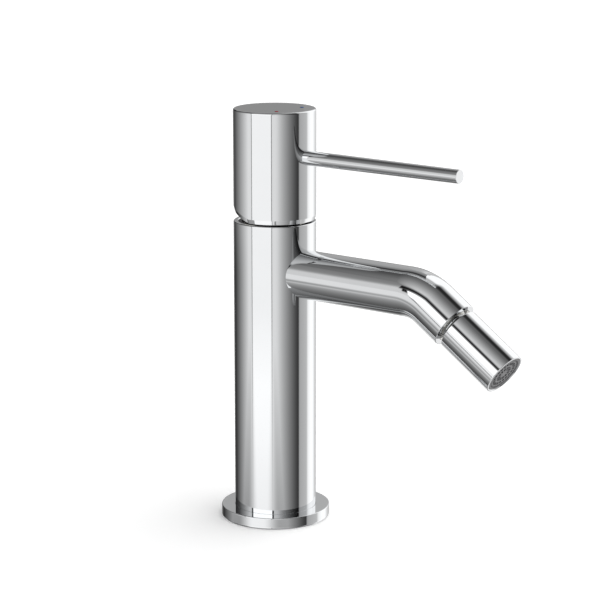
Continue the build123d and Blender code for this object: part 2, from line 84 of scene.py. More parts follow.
def lowest(node, axis):
    """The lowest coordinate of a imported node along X, Y or Z (0, 1 or 2), to a hundredth of a millimetre."""
    return round(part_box(node)[0][axis], 5)


def highest(node, axis):
    """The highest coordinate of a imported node, in the same way."""
    return round(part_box(node)[1][axis], 5)


def length_property(name, description, default):
    return bpy.props.FloatProperty(
        name=name, description=description, default=default, min=0, precision=5,
        subtype="DISTANCE", unit="LENGTH")


def angle_property(name, description, degrees):
    return bpy.props.FloatProperty(
        name=name, description=description, default=math.radians(degrees), subtype="ANGLE", unit="ROTATION")


def count_property(name, description, default):
    return bpy.props.IntProperty(name=name, description=description, default=default, min=3)


def colour_property(name, slot):
    """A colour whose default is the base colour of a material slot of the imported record."""
    found = [m["base_color"] for m in frame["record"]["materials"] if m["slot"] == slot]
    return bpy.props.FloatVectorProperty(
        name=name, description=f"Colour of the {name.lower()}", default=found[0][:3], size=3,
        subtype="COLOR", min=0, max=1)


class BodySizes(bpy.types.PropertyGroup):
    radius: length_property("Radius", "Outside of the body tube", highest("body_shell", 1))
    wall: length_property("Wall", "Wall of the body tube", 2 * MM)
    foot: length_property("Foot", "Height of the tube's foot over the deck", lowest("body_shell", 2))
    top: length_property("Top", "Height of the tube's rim over the deck", highest("body_shell", 2))
    rim_edge: length_property("Rim edge", "Rounding of the rim", 0.45 * MM)
    flange_radius: length_property("Flange radius", "Outside of the flange", highest("base_flange", 1))
    flange_height: length_property("Flange height", "Thickness of the flange", highest("base_flange", 2))
    flange_edge: length_property("Flange edge", "Rounding of the flange's upper edge", 0.3 * MM)
    flange_foot_edge: length_property("Flange foot edge", "Rounding of the flange's lower edge", 0.8 * MM)
    flange_foot_bore: length_property("Flange foot bore", "Bore of the flange's ledge", 13.5 * MM)
    flange_fit: length_property("Flange fit", "Clearance between the flange and the tube", 0.05 * MM)
    flange_bore_edge: length_property("Flange bore edge", "Rounding of the bore's upper edge", 0.1 * MM)
    segments: count_property("Segments", "Facets round the body and the flange", 192)


class HandleSizes(bpy.types.PropertyGroup):
    low: length_property("Underside", "Height of the head's underside", lowest("handle_head", 2))
    top: length_property("Top", "Height of the head's top", highest("handle_head", 2))
    wall: length_property("Wall", "Wall of the head", 2 * MM)
    roof: length_property("Roof", "Thickness of the head's top", 4.6 * MM)
    top_edge: length_property("Top edge", "Rounding of the top edge", 0.75 * MM)
    foot_rise: length_property("Foot rise", "Height of the narrowing foot", 1.9 * MM)
    foot_step: length_property("Foot step", "Narrowing of the foot", 0.5 * MM)
    foot_edge: length_property("Foot edge", "Rounding along the foot", 0.25 * MM)
    slope: angle_property("Slope", "Slope of the underside behind the axis", 17.5)
    boss_radius: length_property("Boss radius", "Outside of the boss for the spindle", 7.5 * MM)
    boss_rise: length_property("Boss rise", "Height of the boss over the underside", 12 * MM)
    lever_height: length_property("Lever height", "Height of the lever's axis over the deck", 158.1 * MM)
    lever_root: length_property("Lever root", "Radius of the lever where it leaves the head", 3.1 * MM)
    lever_tip: length_property("Lever tip", "Radius of the lever's end", 2.82 * MM)
    lever_reach: length_property("Lever reach", "Distance of the lever's end from the axis", highest("lever_rod", 0))
    lever_thread: length_property("Lever thread", "Radius of the lever's threaded end", 2.5 * MM)
    lever_thread_edge: length_property("Lever thread edge", "Rounding of the threaded end", 0.2 * MM)
    lever_depth: length_property("Lever depth", "Depth of the lever's shoulder in the head", 1.9 * MM)
    lever_edge: length_property("Lever edge", "Rounding of the lever's end", 0.12 * MM)
    cap_radius: length_property("Cap radius", "Radius of the cap over the screw", 2.5 * MM)
    cap_height: length_property("Cap height", "Height of the cap's middle over the deck", 151.9 * MM)
    cap_rise: length_property("Cap rise", "Rise of the cap over the head's back", 0.02 * MM)
    cap_edge: length_property("Cap edge", "Rounding of the cap's edge", 0.05 * MM)
    cap_depth: length_property("Cap depth", "Depth of the cap in the head", 1 * MM)
    dot_radius: length_property("Dot radius", "Radius of the hot and cold marks", 0.8 * MM)
    dot_forward: length_property("Dot forward", "Distance of the marks in front of the axis", 7.9 * MM)
    dot_side: length_property("Dot side", "Distance of the marks beside the axis", 8.4 * MM)
    dot_rise: length_property("Dot rise", "Rise of the marks' middle over the head's top", 0.2 * MM)
    dot_rim: length_property("Dot rim", "Rise of the marks' edge over the head's top", 0.1 * MM)
    dot_edge: length_property("Dot edge", "Rounding of the marks' edge", 0.06 * MM)
    dot_depth: length_property("Dot depth", "Depth of the marks in the head's top", 0.6 * MM)
    segments: count_property("Segments", "Facets round the head", 192)
    lever_segments: count_property("Lever segments", "Facets round the lever", 72)


class SpoutSizes(bpy.types.PropertyGroup):
    height: length_property("Height", "Height of the spout's axis over the deck", 108.5 * MM)
    radius: length_property("Radius", "Outside of the spout", highest("spout_tube", 1))
    bore: length_property("Bore", "Bore radius of the spout", 8 * MM)
    root_fit: length_property("Root fit", "Clearance between the spout and the body", 0.01 * MM)
    run: length_property("Run", "Distance from the axis to the bend's corner", 77 * MM)
    tail: length_property("Tail", "Distance from the bend's corner to the spout's end", 19.3 * MM)
    bend_radius: length_property("Bend radius", "Radius of the bend's middle line", 22 * MM)
    bend_angle: angle_property("Bend angle", "Angle that the spout turns down by", 34.1)
    end_edge: length_property("End edge", "Rounding of the spout's end", 0.25 * MM)
    ball_offset: length_property("Ball offset", "Distance of the ball's centre from the spout's end", 4.75 * MM)
    ball_radius: length_property("Ball radius", "Radius of the ball", 7.4 * MM)
    ball_bore: length_property("Ball bore", "Radius of the water way through the ball", 3.3 * MM)
    stem_radius: length_property("Stem radius", "Radius of the ball's stem", 5.9 * MM)
    stem_length: length_property("Stem length", "Length of the ball's stem", 7 * MM)
    gap: length_property("Gap", "Gap between spout and nozzle", 2.15 * MM)
    nozzle_radius: length_property("Nozzle radius", "Outside of the nozzle", 9.25 * MM)
    nozzle_length: length_property("Nozzle length", "Length of the nozzle", 27.2 * MM)
    nozzle_seat: length_property("Nozzle seat", "Radius of the round seat in the nozzle", 8.1 * MM)
    nozzle_bore: length_property("Nozzle bore", "Bore radius of the nozzle's mouth", 8.3 * MM)
    nozzle_step: length_property("Nozzle step", "Distance of the step in the bore from the ball's centre", 10.3 * MM)
    nozzle_edge: length_property("Nozzle edge", "Rounding of the nozzle's edges", 0.2 * MM)
    mouth_break: length_property("Mouth break", "Chamfer inside the nozzle's mouth", 0.25 * MM)
    segments: count_property("Segments", "Facets round the spout and the nozzle", 144)
    bend_rows: count_property("Bend rows", "Rows along the bend", 36)


class Finishes(bpy.types.PropertyGroup):
    chrome: colour_property("Chrome", "chrome_body")
    brass: colour_property("Brass", "brass_cast")
    steel: colour_property("Steel", "steel_pin")
    ceramic: colour_property("Ceramic", "ceramic_disc")
    nickel: colour_property("Nickel", "nickel_plate")
    black: colour_property("Black plastic", "plastic_black")
    white: colour_property("White plastic", "plastic_white")
    grey: colour_property("Grey plastic", "plastic_grey")
    rubber: colour_property("Rubber", "rubber_seal")
    red: colour_property("Red enamel", "index_red")
    blue: colour_property("Blue enamel", "index_blue")


class StudioSizes(bpy.types.PropertyGroup):
    azimuth: angle_property("Azimuth", "Direction of the camera round the mixer", 38.51)
    heading: angle_property("Heading", "Small turn of the camera to its right", -0.094)
    pitch: angle_property("Pitch", "Downward tilt of the camera", 12.58)
    distance: length_property("Distance", "Level distance of the camera", 921.9 * MM)
    height: length_property("Height", "Height of the camera over the deck", 300.9 * MM)
    aside: length_property("Aside", "Place of the camera to the right of the mixer", 12.15 * MM)
    lens: bpy.props.FloatProperty(
        name="Lens", description="Focal length in millimetres", default=132.8, min=10, unit="CAMERA")
    fill: bpy.props.FloatProperty(name="Fill", description="Strength of the even light", default=0.45, min=0)
    lamp: bpy.props.FloatProperty(name="Lamp", description="Strength of the soft lamp", default=2.2, min=0)
    lamp_rise: angle_property("Lamp rise", "Height of the soft lamp over the horizon", 50)
    lamp_angle: angle_property("Lamp angle", "Width of the soft lamp in the sky", 100)


# The studio is a room of grey cards. Each tone, from 0 to 255, is what polished chrome shows of a card.
# Walls, by the angle from the camera in degrees: back wall, dark corner, left wall, right wall that
# darkens towards its far end, front corner and window
WALLS = (
    (-180, 137), (-172, 136), (-145, 64), (-138, 86), (-78, 216), (2, 212), (8, 204), (24, 162), (48, 106),
    (62, 70), (69.8, 54), (72, 150), (77, 163), (97, 178), (101, 182), (103, 213), (108, 238), (118, 251),
    (128, 253), (134, 249), (140, 232), (147, 204), (153, 191), (166, 188), (171, 140), (180, 137))
RIGHT_WALL_END = 71
BACK_WALL_START = 165
# The brightest that the left and right walls get near the horizon, and lower down
WALL_LIMITS = (225, 152)
WINDOW = (136, 160.5)
WINDOW_TONE = 250
# The bright panel on the left wall, by how far the ray falls per unit of its length. Its edge is a grey
# line below the horizon and a black frame above it, both in degrees from the edge
PANEL_MIDDLE = -37.3
PANEL_HALF = 29.2
PANEL_FALL = ((0.22, 237), (0.255, 251), (0.275, 248), (0.311, 235), (0.42, 246))
PANEL_TONE_ABOVE = 275
PANEL_LINE = 1.1
PANEL_LINE_TONE = 130
PANEL_FRAME = (-3.6, 0.6)
PANEL_FRAME_TONE = 20
# The ceiling and the ground lie square to the mixer, and a place on them is the ray's run over its height:
# along to the mixer's far side, and across in the spout's direction. The tables go by the run along:
# ceiling with its dark beams, its side over the spout, the bright opening in its far end, and the ground
CEILING = (
    (-2.2, 248), (-2.0, 203), (-1.93, 150), (-1.72, 68), (-1.6, 32), (-1.5, 38), (-1.3, 125), (-1.18, 189),
    (-1.1, 196), (-0.9, 188), (-0.5, 147), (-0.1, 99), (0.05, 90), (0.2, 41), (0.37, 42), (0.55, 148),
    (0.67, 183), (0.8, 215), (0.95, 243))
CEILING_SIDE = (
    (-2.6, 198), (-2.0, 170), (-1.65, 150), (-1.35, 130), (-0.65, 114), (0.15, 50), (0.2, 112), (0.28, 120),
    (0.32, 48), (0.4, 56), (0.55, 118), (0.65, 131), (0.75, 142), (1.15, 155))
CEILING_ALONG = (-2.25, 0.9)
CEILING_ACROSS = (-2.4, 1.2)
OPENING = ((0.18, 172), (0.3, 178), (0.35, 165), (0.42, 220), (0.5, 245), (0.6, 251))
OPENING_START = 0.18
GROUND = (
    (-2.2, 186), (-1.9, 177), (-1.3, 154), (-0.9, 131), (-0.5, 105), (-0.1, 78), (0.1, 50), (0.5, 100),
    (0.9, 158), (1.1, 177), (1.3, 188), (1.7, 198), (2.3, 207))
GROUND_REACH = 2.145
# The ground's edge towards the spout: two slanted lines, across over along, on the near and the far side.
# The strip between them, under the mixer, has no such edge
GROUND_SLANTS = (-0.56, -0.33)
GROUND_STRIP = 0.95
# What steep rays meet beneath the mixer
BENEATH_TONE = 150
# Degrees from the camera's right to the spout's direction, which set the ceiling and the ground square
ROOM_HEADING = 37.64
# The paper floor, as it lights the mixer, and as the camera sees it: white, but for the mixer's shadow
PAPER = 0.9
PAPER_SEEN = 1.18


# Surfaces


def unit(vectors):
    """Each vector divided by its own length."""
    return vectors / np.linalg.norm(vectors, axis=-1, keepdims=True)


def rounded_outline(corners, steps=6, support=0.3):
    """An outline with round corners.

    Each corner is (across, along, radius), and across or along may be one value per column. A corner
    becomes an arc that touches both of its sides: the centre lies on the corner's bisector at the
    radius over the sine of the half angle, and the arc turns evenly from one touching point to the
    other. A support point on each side keeps the flat faces flat. The result has shape
    (points, columns, 2).
    """
    width = max(np.size(value) for corner in corners for value in corner[:2])
    points = np.array([[np.broadcast_to(value, width) for value in corner[:2]] for corner in corners])
    points = np.moveaxis(points.astype(float), 1, 2)
    rows = []
    for number, corner in enumerate(corners):
        here = points[number]
        radius = corner[2]
        if radius == 0 or number in (0, len(corners) - 1):
            rows.append(here[None])
            continue
        back = unit(points[number - 1] - here)
        on = unit(points[number + 1] - here)
        half = np.arccos(np.clip((back * on).sum(-1, keepdims=True), -1, 1)) / 2
        touch = radius / np.tan(half)
        centre = here + unit(back + on) * radius / np.sin(half)
        start = here + back * touch - centre
        end = here + on * touch - centre
        turn = math.pi - 2 * half
        share = np.linspace(0, 1, steps + 1)[:, None, None]
        arc = centre + (np.sin((1 - share) * turn) * start + np.sin(share * turn) * end) / np.sin(turn)
        before = here + back * (touch + support * radius)
        after = here + on * (touch + support * radius)
        rows.append(np.concatenate([before[None], arc, after[None]]))
    return np.concatenate(rows)


def turned(outline, segments):
    """A surface of revolution: x is r cos a, y is r sin a and z is h, for the outline's (r, h) and every angle a."""
    angle = np.arange(segments) * 2 * math.pi / segments
    radius = outline[..., 0]
    level = outline[..., 1] + 0 * angle
    return np.stack([radius * np.cos(angle), radius * np.sin(angle), level], axis=-1)


def placed(grid, origin, direction):
    """The grid with its Z axis laid along a direction in the XZ plane, and its X axis along +Y."""
    along = unit(np.array(direction, float))
    across = np.array([0.0, 1.0, 0.0])
    third = np.cross(along, across)
    return np.array(origin) + grid[..., :1] * across + grid[..., 1:2] * third + grid[..., 2:] * along


def grid_faces(rows, columns, ring):
    """Four-sided faces between neighbours of a grid that is closed round its columns, and along its rows if ring."""
    row = np.arange(rows if ring else rows - 1)[:, None]
    column = np.arange(columns)[None, :]
    after_row = (row + 1) % rows
    after_column = (column + 1) % columns
    corners = [row * columns + column, row * columns + after_column,
               after_row * columns + after_column, after_row * columns + column]
    return np.stack(corners, axis=-1).reshape(-1, 4)


def make_piece(name, grid, ring, material, slot, body, *nodes):
    """A smooth mesh piece of one grid of points, with its doubles merged and its faces turned outwards."""
    rows, columns = grid.shape[:2]
    mesh = bpy.data.meshes.new(name)
    mesh.from_pydata(grid.reshape(-1, 3).tolist(), [], grid_faces(rows, columns, ring).tolist())
    shape = bmesh.new()
    shape.from_mesh(mesh)
    bmesh.ops.remove_doubles(shape, verts=shape.verts, dist=1e-7)
    bmesh.ops.recalc_face_normals(shape, faces=shape.faces)
    shape.to_mesh(mesh)
    shape.free()
    mesh.shade_smooth()
    mesh.set_sharp_from_angle(angle=math.radians(35))
    mesh.materials.append(material)
    piece = bpy.data.objects.new(name, mesh)
    bpy.context.scene.collection.objects.link(piece)
    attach(piece, body)
    if nodes:
        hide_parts(*nodes)
    return piece


# Finishes


class Wire:
    """A node socket that Python's operators turn into Math nodes."""

    def __init__(self, recipe, socket):
        self.recipe = recipe
        self.socket = socket

    def __add__(self, other):
        return self.recipe.maths("ADD", self, other)

    def __sub__(self, other):
        return self.recipe.maths("SUBTRACT", self, other)

    def __rsub__(self, other):
        return self.recipe.maths("SUBTRACT", other, self)

    def __mul__(self, other):
        return self.recipe.maths("MULTIPLY", self, other)

    def __truediv__(self, other):
        return self.recipe.maths("DIVIDE", self, other)

    def __pow__(self, other):
        return self.recipe.maths("POWER", self, other)

    def __abs__(self):
        return self.recipe.maths("ABSOLUTE", self)

    def __gt__(self, other):
        return self.recipe.maths("GREATER_THAN", self, other)

    def __lt__(self, other):
        return self.recipe.maths("LESS_THAN", self, other)

    __radd__ = __add__
    __rmul__ = __mul__


class Recipe:
    """The node tree of one finish, lamp shade or world."""

    def __init__(self, owner):
        owner.use_nodes = True
        self.owner = owner
        self.tree = owner.node_tree
        self.tree.nodes.clear()

    def node(self, kind, settings, inputs, output=0):
        """Adds a node of a type with its settings, then the values or links of its sockets."""
        made = self.tree.nodes.new(kind)
        for key, value in settings.items():
            if key == "stops":
                self.set_stops(made.color_ramp, value)
            else:
                setattr(made, key, value)
        for key, value in inputs.items():
            if isinstance(value, Wire):
                self.tree.links.new(value.socket, made.inputs[key])
            else:
                made.inputs[key].default_value = value
        if output is None:
            return {socket.name: Wire(self, socket) for socket in made.outputs}
        return Wire(self, made.outputs[output]) if made.outputs else None

    @staticmethod
    def set_stops(ramp, stops):
        while len(ramp.elements) < len(stops):
            ramp.elements.new(1)
        for element, (place, tone) in zip(ramp.elements, stops):
            element.position = place
            element.color = (tone, tone, tone, 1)

    def maths(self, operation, *values):
        return self.node("ShaderNodeMath", {"operation": operation}, dict(enumerate(values)))

    def mix(self, factor, first, second):
        """Mixes two numbers."""
        return self.node("ShaderNodeMix", {}, {0: factor, 2: first, 3: second})

    def between(self, value, low, high):
        """1 where the value lies between low and high, and 0 elsewhere."""
        return (value > low) * (value < high)

    def ramp(self, value, start, end, shape="LINEAR"):
        """Rises from 0 at start to 1 at end."""
        inputs = {"Value": value, "From Min": start, "From Max": end}
        return self.node("ShaderNodeMapRange", {"interpolation_type": shape}, inputs)

    def fade(self, value, start, end):
        """Rises smoothly from 0 at start to 1 at end."""
        return self.ramp(value, start, end, "SMOOTHSTEP")

    def turn(self, direction, angle):
        """Turns a vector about the Z axis."""
        settings = {"rotation_type": "Z_AXIS"}
        return self.node("ShaderNodeVectorRotate", settings, {"Vector": direction, "Angle": angle})

    def split(self, vector):
        parts = self.node("ShaderNodeSeparateXYZ", {}, {"Vector": vector}, None)
        return [parts[axis] for axis in "XYZ"]

    def tones(self, value, stops):
        """The brightness at a value, from stops of value and the tone in 0 to 255 that chrome shows there."""
        low, high = stops[0][0], stops[-1][0]
        ramp = [((at - low) / (high - low), tone / 255) for at, tone in stops]
        shown = self.node("ShaderNodeValToRGB", {"stops": ramp}, {"Fac": (value - low) / (high - low)})
        return shown ** 2.2 / 0.8

    def place(self):
        return self.node("ShaderNodeTexCoord", {}, {}, "Object")

    def noise(self, where, scale, detail):
        return self.node("ShaderNodeTexNoise", {}, {"Vector": where, "Scale": scale, "Detail": detail})

    def blend(self, factor, first, second):
        """Mixes two colours."""
        inputs = {"Factor": factor, 6: first, 7: second}
        return self.node("ShaderNodeMix", {"data_type": "RGBA"}, inputs, 2)

    def bump(self, height, strength, distance):
        return self.node("ShaderNodeBump", {}, {"Strength": strength, "Distance": distance, "Height": height})


def card(tone):
    """The brightness of a card that chrome shows as a grey tone from 0 to 255."""
    return (tone / 255) ** 2.2 / 0.8


def shade(colour, factor):
    """The colour made lighter or darker by a factor, with full alpha."""
    return tuple(min(1.0, channel * factor) for channel in colour) + (1.0,)


def finish(name, build):
    """A material whose Principled shader gets what build returns for its sockets."""
    material = bpy.data.materials.new(name)
    recipe = Recipe(material)
    shader = recipe.node("ShaderNodeBsdfPrincipled", {}, build(recipe))
    recipe.node("ShaderNodeOutputMaterial", {}, {"Surface": shader})
    return material


def chrome_finish(name, colour):
    """Polished plate: a faint haze where hands touch it, and a trace of waviness from polishing."""
    def build(recipe):
        where = recipe.place()
        haze = recipe.noise(where, 90, 4)
        wipe = recipe.noise(where, 900, 3)
        wave = recipe.noise(where, 160, 1)
        return {
            "Base Color": recipe.blend(haze, shade(colour, 1.0), shade(colour, 1.03)),
            "Metallic": 1.0,
            "Roughness": 0.03 + 0.03 * haze * wipe,
            "Normal": recipe.bump(wave, 0.02, 0.02 * MM),
        }
    return finish(name, build)


def brass_finish(name, colour):
    """Machined brass with fine turning marks and a darker film in places."""
    def build(recipe):
        where = recipe.place()
        film = recipe.noise(where, 220, 5)
        marks = recipe.node(
            "ShaderNodeTexWave", {"wave_type": "BANDS", "bands_direction": "Z"},
            {"Vector": where, "Scale": 900, "Distortion": 1.5, "Detail": 2})
        return {
            "Base Color": recipe.blend(film, shade(colour, 1.05), shade(colour, 0.7)),
            "Metallic": 1.0,
            "Roughness": 0.24 + 0.16 * film,
            "Normal": recipe.bump(marks, 0.15, 0.05 * MM),
        }
    return finish(name, build)


def steel_finish(name, colour):
    """Ground stainless steel: fine grain and small tone changes."""
    def build(recipe):
        where = recipe.place()
        grain = recipe.noise(where, 2500, 3)
        tone = recipe.noise(where, 150, 2)
        return {
            "Base Color": recipe.blend(tone, shade(colour, 1.05), shade(colour, 0.85)),
            "Metallic": 1.0,
            "Roughness": 0.25 + 0.15 * grain,
            "Normal": recipe.bump(grain, 0.2, 0.02 * MM),
        }
    return finish(name, build)


def plastic_finish(name, colour, gloss):
    """Moulded plastic with a fine eroded texture and a faint mottle."""
    def build(recipe):
        where = recipe.place()
        texture = recipe.noise(where, 3000, 4)
        mottle = recipe.noise(where, 260, 2)
        return {
            "Base Color": recipe.blend(mottle, shade(colour, 1.0), shade(colour, 0.9)),
            "Roughness": gloss + 0.12 * texture,
            "Normal": recipe.bump(texture, 0.25, 0.02 * MM),
        }
    return finish(name, build)


def rubber_finish(name, colour):
    """Soft rubber with a dull dusty bloom."""
    def build(recipe):
        where = recipe.place()
        bloom = recipe.noise(where, 600, 5)
        return {
            "Base Color": recipe.blend(bloom, shade(colour, 0.8), shade(colour, 1.6)),
            "Roughness": 0.65 + 0.25 * bloom,
            "Normal": recipe.bump(bloom, 0.3, 0.03 * MM),
        }
    return finish(name, build)


def ceramic_finish(name, colour):
    """Lapped alumina: a smooth face with faint grey specks."""
    def build(recipe):
        where = recipe.place()
        speck = recipe.noise(where, 4000, 3) > 0.68
        return {
            "Base Color": recipe.blend(speck, shade(colour, 1.0), shade(colour, 0.8)),
            "Roughness": 0.18 + 0.1 * speck,
        }
    return finish(name, build)


def enamel_finish(name, colour):
    """Dull enamel that has flowed level, with a slightly deeper colour where it pooled."""
    def build(recipe):
        where = recipe.place()
        pool = recipe.noise(where, 1800, 2)
        return {
            "Base Color": recipe.blend(pool, shade(colour, 0.45), shade(colour, 0.35)),
            "Roughness": 0.45 + 0.1 * pool,
            "Specular IOR Level": 0.15,
            "Normal": recipe.bump(pool, 0.1, 0.02 * MM),
        }
    return finish(name, build)


# Steps of the build


class MixerStep:
    """What all the operators of the mixer share."""
    bl_options = {"REGISTER", "UNDO"}

    @staticmethod
    def piece(name, grid, material, slot, body, *nodes, ring=False):
        return make_piece(name, grid, ring, bpy.data.materials[material], slot, body, *nodes)


class MIXER_OT_finishes(MixerStep, bpy.types.Operator):
    """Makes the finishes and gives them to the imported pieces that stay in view"""
    bl_idname = "mixer.finishes"
    bl_label = "Finishes"

    def execute(self, context):
        colours = context.scene.mixer_finishes
        chrome_finish("chrome", colours.chrome)
        chrome_finish("nickel", colours.nickel)
        brass_finish("brass", colours.brass)
        steel_finish("steel", colours.steel)
        ceramic_finish("ceramic", colours.ceramic)
        plastic_finish("black_plastic", colours.black, 0.4)
        plastic_finish("white_plastic", colours.white, 0.35)
        plastic_finish("grey_plastic", colours.grey, 0.35)
        rubber_finish("rubber", colours.rubber)
        enamel_finish("red_enamel", colours.red)
        enamel_finish("blue_enamel", colours.blue)
        worn_by = {
            "chrome_body": "chrome", "chrome_head": "chrome", "chrome_lever": "chrome",
            "chrome_spout": "chrome", "chrome_nozzle": "chrome", "chrome_ball": "chrome",
            "nickel_plate": "nickel", "brass_cast": "brass", "brass_tube": "brass",
            "steel_pin": "steel", "steel_screen": "steel", "ceramic_disc": "ceramic",
            "plastic_black": "black_plastic", "plastic_white": "white_plastic",
            "plastic_grey": "grey_plastic", "rubber_seal": "rubber",
            "index_red": "red_enamel", "index_blue": "blue_enamel",
        }
        for part in frame["record"]["subparts"]:
            mesh = frame["nodes"][part["node"]].data
            mesh.materials.clear()
            mesh.materials.append(bpy.data.materials[worn_by[part["material_slot"]]])
        return {"FINISHED"}


class MIXER_OT_body(MixerStep, bpy.types.Operator):
    """Turns the flange and the body tube"""
    bl_idname = "mixer.body"
    bl_label = "Body"

    def execute(self, context):
        size = context.scene.mixer_body
        bore = size.radius - size.wall
        edge = size.rim_edge
        tube = rounded_outline([
            (bore, size.foot, 0), (size.radius, size.foot, 0), (size.radius, size.top, edge),
            (bore, size.top, edge), (bore, size.foot, 0)])
        self.piece("body_tube", turned(tube, size.segments), "chrome", "chrome_body", "fixed_body", "body_shell")
        inner = size.radius + size.flange_fit
        flange = rounded_outline([
            (size.flange_foot_bore, 0, 0), (size.flange_radius, 0, size.flange_foot_edge),
            (size.flange_radius, size.flange_height, size.flange_edge),
            (inner, size.flange_height, size.flange_bore_edge), (inner, size.foot, 0),
            (size.flange_foot_bore, size.foot, 0), (size.flange_foot_bore, 0, 0)])
        self.piece("flange_plate", turned(flange, size.segments), "chrome", "chrome_body", "fixed_body",
                   "base_flange")
        return {"FINISHED"}


class MIXER_OT_head(MixerStep, bpy.types.Operator):
    """Turns the handle's head, with its underside sloped up behind the axis, and the cap over its screw"""
    bl_idname = "mixer.head"
    bl_label = "Handle head"

    def execute(self, context):
        size = context.scene.mixer_handle
        radius = context.scene.mixer_body.radius
        angle = np.arange(size.segments) * 2 * math.pi / size.segments
        slope = math.tan(size.slope)

        def foot(at):
            """The underside's height at a radius: level in front, and rising with the distance behind the axis."""
            return size.low + np.maximum(0, -at * np.cos(angle)) * slope

        bore = radius - size.wall
        roof = size.top - size.roof
        boss = size.low + size.boss_rise
        outline = rounded_outline([
            (0, size.top, 0), (radius, size.top, size.top_edge),
            (radius, foot(radius) + size.foot_rise, size.foot_edge),
            (radius - size.foot_step, foot(radius - size.foot_step), size.foot_edge),
            (bore, foot(bore), 0), (bore, roof, 0), (size.boss_radius, roof, 0),
            (size.boss_radius, boss, 0), (0, boss, 0)], steps=8)
        self.piece("head_cap", turned(outline, size.segments), "chrome", "chrome_head", "handle", "handle_head")
        self.screw_cap(size, radius)
        return {"FINISHED"}

    def screw_cap(self, size, radius):
        """A round plug on the head's back: y is r cos a, the height is r sin a, and x follows the head's round."""
        outline = rounded_outline([
            (0, size.cap_rise, 0), (size.cap_radius, size.cap_rise, size.cap_edge),
            (size.cap_radius, -size.cap_depth, 0), (0, -size.cap_depth, 0)])
        disc = turned(outline, size.lever_segments)
        back = -np.sqrt(radius ** 2 - disc[..., 0] ** 2) - disc[..., 2]
        grid = np.stack([back, disc[..., 0], size.cap_height + disc[..., 1]], axis=-1)
        self.piece("screw_plug", grid, "chrome", "chrome_head", "handle", "screw_cap")


class MIXER_OT_lever(MixerStep, bpy.types.Operator):
    """Turns the lever"""
    bl_idname = "mixer.lever"
    bl_label = "Lever"

    def execute(self, context):
        size = context.scene.mixer_handle
        root = context.scene.mixer_body.radius - size.lever_depth
        stud = lowest("lever_rod", 0)
        outline = rounded_outline([
            (0, stud, 0), (size.lever_thread, stud, size.lever_thread_edge), (size.lever_thread, root, 0),
            (size.lever_root, root, 0), (size.lever_tip, size.lever_reach, size.lever_edge),
            (0, size.lever_reach, 0)])
        grid = placed(turned(outline, size.lever_segments), (0, 0, size.lever_height), (1, 0, 0))
        self.piece("lever", grid, "chrome", "chrome_lever", "handle", "lever_rod")
        return {"FINISHED"}


class MIXER_OT_marks(MixerStep, bpy.types.Operator):
    """Sets the hot and cold marks in the head's top"""
    bl_idname = "mixer.marks"
    bl_label = "Marks"

    def execute(self, context):
        size = context.scene.mixer_handle
        lens = rounded_outline([
            (0, size.dot_rise, 0), (size.dot_radius, size.dot_rim, size.dot_edge),
            (size.dot_radius, -size.dot_depth, 0), (0, -size.dot_depth, 0)])
        grid = turned(lens, size.lever_segments)
        for node, turn, material, slot in (("hot_dot", -1, "red_enamel", "index_red"),
                                           ("cold_dot", 1, "blue_enamel", "index_blue")):
            place = np.array([size.dot_forward, turn * size.dot_side, size.top])
            self.piece(node.replace("dot", "mark"), grid + place, material, slot, "handle", node)
        return {"FINISHED"}


class MIXER_OT_spout(MixerStep, bpy.types.Operator):
    """Sweeps the spout from the body's wall, round its bend and down its tail"""
    bl_idname = "mixer.spout"
    bl_label = "Spout"

    def execute(self, context):
        size = context.scene.mixer_spout
        wall = context.scene.mixer_body.radius + size.root_fit
        setback = size.bend_radius * math.tan(size.bend_angle / 2)
        bend_start = size.run - setback
        bend_end = bend_start + size.bend_radius * size.bend_angle
        end = bend_end + size.tail - setback
        edge = size.end_edge
        share = np.linspace(0, 1, 9)
        bend = np.linspace(bend_start, bend_end, size.bend_rows)
        tail = np.linspace(bend_end, end - 3 * edge, 5)[1:]
        lip = rounded_outline([(size.radius, end - 2.5 * edge, 0), (size.radius, end, edge),
                               (size.bore, end, edge), (size.bore, end - 2.5 * edge, 0)])[:, 0]
        angle = np.arange(size.segments) * 2 * math.pi / size.segments

        def stations(radius):
            """Distances along the middle line for every angle a round the spout.

            The first row lies on the body's round wall, where the distance is the root of wall squared less
            (r sin a) squared. The next rows run evenly from there to the bend.
            """
            root = np.sqrt(wall ** 2 - (radius * np.sin(angle)) ** 2)
            straight = root + (bend_start - root) * share[:-1, None]
            return np.concatenate([straight, np.repeat(np.concatenate([bend, tail])[:, None], size.segments, 1)])

        outside = stations(size.radius)
        inside = stations(size.bore)[::-1]
        lip_rows = np.repeat(lip[:, 1:], size.segments, 1)
        distance = np.concatenate([outside, lip_rows, inside])
        radius = np.concatenate([np.full(len(outside), size.radius), lip[:, 0], np.full(len(inside), size.bore)])
        grid = self.swept(size, distance, radius[:, None], angle, bend_start, bend_end)
        self.piece("spout", grid, "chrome", "chrome_spout", "fixed_body", "spout_tube", ring=True)
        return {"FINISHED"}

    @staticmethod
    def swept(size, distance, radius, angle, bend_start, bend_end):
        """A round section carried along a middle line that runs level, turns down on an arc and runs straight."""
        turn = (np.clip(distance, bend_start, bend_end) - bend_start) / size.bend_radius
        before = np.minimum(distance, bend_start)
        after = np.maximum(distance - bend_end, 0)
        x = before + size.bend_radius * np.sin(turn) + after * np.cos(turn)
        z = size.height - size.bend_radius * (1 - np.cos(turn)) - after * np.sin(turn)
        up = radius * np.cos(angle)
        return np.stack([x + up * np.sin(turn), radius * np.sin(angle) + 0 * x, z + up * np.cos(turn)], axis=-1)


